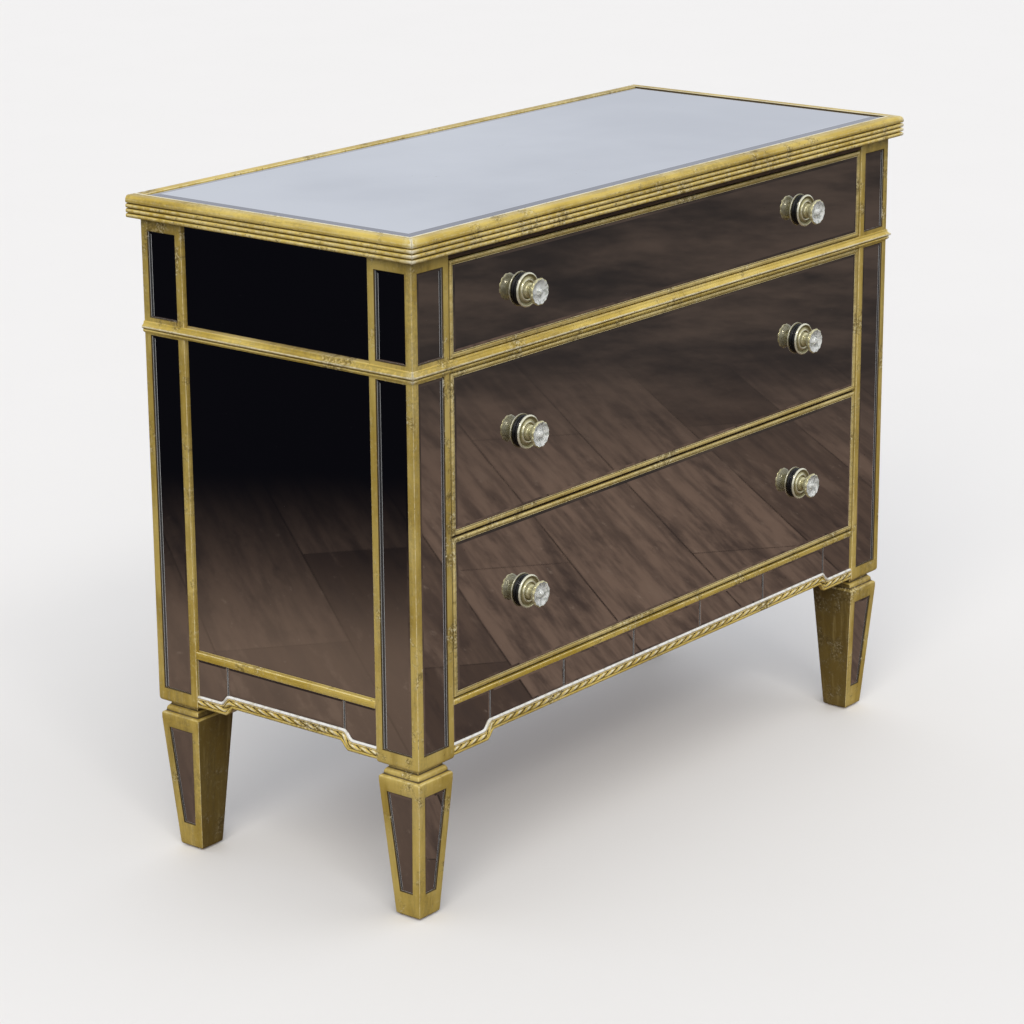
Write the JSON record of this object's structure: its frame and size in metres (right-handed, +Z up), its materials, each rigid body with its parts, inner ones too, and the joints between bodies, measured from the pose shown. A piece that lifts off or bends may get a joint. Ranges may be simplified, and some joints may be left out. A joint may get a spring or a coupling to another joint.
{
  "type": "mirrored chest of drawers",
  "caption": "Mirrored chest of drawers: antique-gold case with bevelled glass panels, reeded top edge, scalloped apron, tapered legs, and sliding drawers with crystal knobs.",
  "frame": {"origin": "on the floor, at the middle of the whole footprint, knobs and top overhang included", "axes": "+Z up, -Y towards the drawer fronts, +X to the right for a viewer who faces the drawers"},
  "size_m": [1.056, 0.4748, 0.8636],
  "materials": {
    "gold_leaf": "antiqued gold leaf on carved wood, rubbed and specked with dark brown",
    "mirror": "silvered glass with a narrow ground bevel",
    "top_mirror": "silvered glass, lightly clouded, with a ground bevel",
    "inner_wood": "plain sealed wood",
    "backing": "dark stained board",
    "knob_metal": "pale champagne plate with a blackened groove",
    "crystal": "clear cut crystal"
  },
  "bodies": {
    "case": {"apron_front": "gold_leaf", "apron_left": "gold_leaf", "apron_mirror_front": "mirror", "apron_mirror_left": "mirror", "apron_mirror_right": "mirror", "apron_right": "gold_leaf", "back_panel": "backing", "base_panel": "inner_wood", "dust_board": "inner_wood", "leg_back_left": "gold_leaf", "leg_back_right": "gold_leaf", "leg_front_left": "gold_leaf", "leg_front_right": "gold_leaf", "post_back_left": "gold_leaf", "post_back_right": "gold_leaf", "post_front_left": "gold_leaf", "post_front_right": "gold_leaf", "runner_left": "inner_wood", "runner_right": "inner_wood", "side_board_left": "inner_wood", "side_board_right": "inner_wood", "side_mirror_lower_left": "mirror", "side_mirror_lower_right": "mirror", "side_mirror_upper_left": "mirror", "side_mirror_upper_right": "mirror", "side_rail_left": "gold_leaf", "side_rail_right": "gold_leaf", "top_back_rail": "gold_leaf", "top_board": "inner_wood", "top_mirror": "top_mirror", "top_moulding_front": "gold_leaf", "top_moulding_left": "gold_leaf", "top_moulding_right": "gold_leaf", "top_rail": "gold_leaf", "waist_moulding_front": "gold_leaf", "waist_moulding_left": "gold_leaf", "waist_moulding_right": "gold_leaf", "waist_rail": "gold_leaf"},
    "drawer_upper": {"drawer_box_upper": "inner_wood", "drawer_front_upper": "gold_leaf", "drawer_mirror_upper": "mirror", "knob_base_upper_left": "knob_metal", "knob_base_upper_right": "knob_metal", "knob_crystal_upper_left": "crystal", "knob_crystal_upper_right": "crystal"},
    "drawer_middle": {"drawer_box_middle": "inner_wood", "drawer_front_middle": "gold_leaf", "drawer_mirror_middle": "mirror", "knob_base_middle_left": "knob_metal", "knob_base_middle_right": "knob_metal", "knob_crystal_middle_left": "crystal", "knob_crystal_middle_right": "crystal"},
    "drawer_lower": {"drawer_box_lower": "inner_wood", "drawer_front_lower": "gold_leaf", "drawer_mirror_lower": "mirror", "knob_base_lower_left": "knob_metal", "knob_base_lower_right": "knob_metal", "knob_crystal_lower_left": "crystal", "knob_crystal_lower_right": "crystal"}
  },
  "joints": [
    {"name": "drawer_upper_slide", "type": "slide", "parent": "case", "child": "drawer_upper", "axis": [0, -1, 0], "range_m": [0, 0.28]},
    {"name": "drawer_middle_slide", "type": "slide", "parent": "case", "child": "drawer_middle", "axis": [0, -1, 0], "range_m": [0, 0.28]},
    {"name": "drawer_lower_slide", "type": "slide", "parent": "case", "child": "drawer_lower", "axis": [0, -1, 0], "range_m": [0, 0.28]}
  ]
}
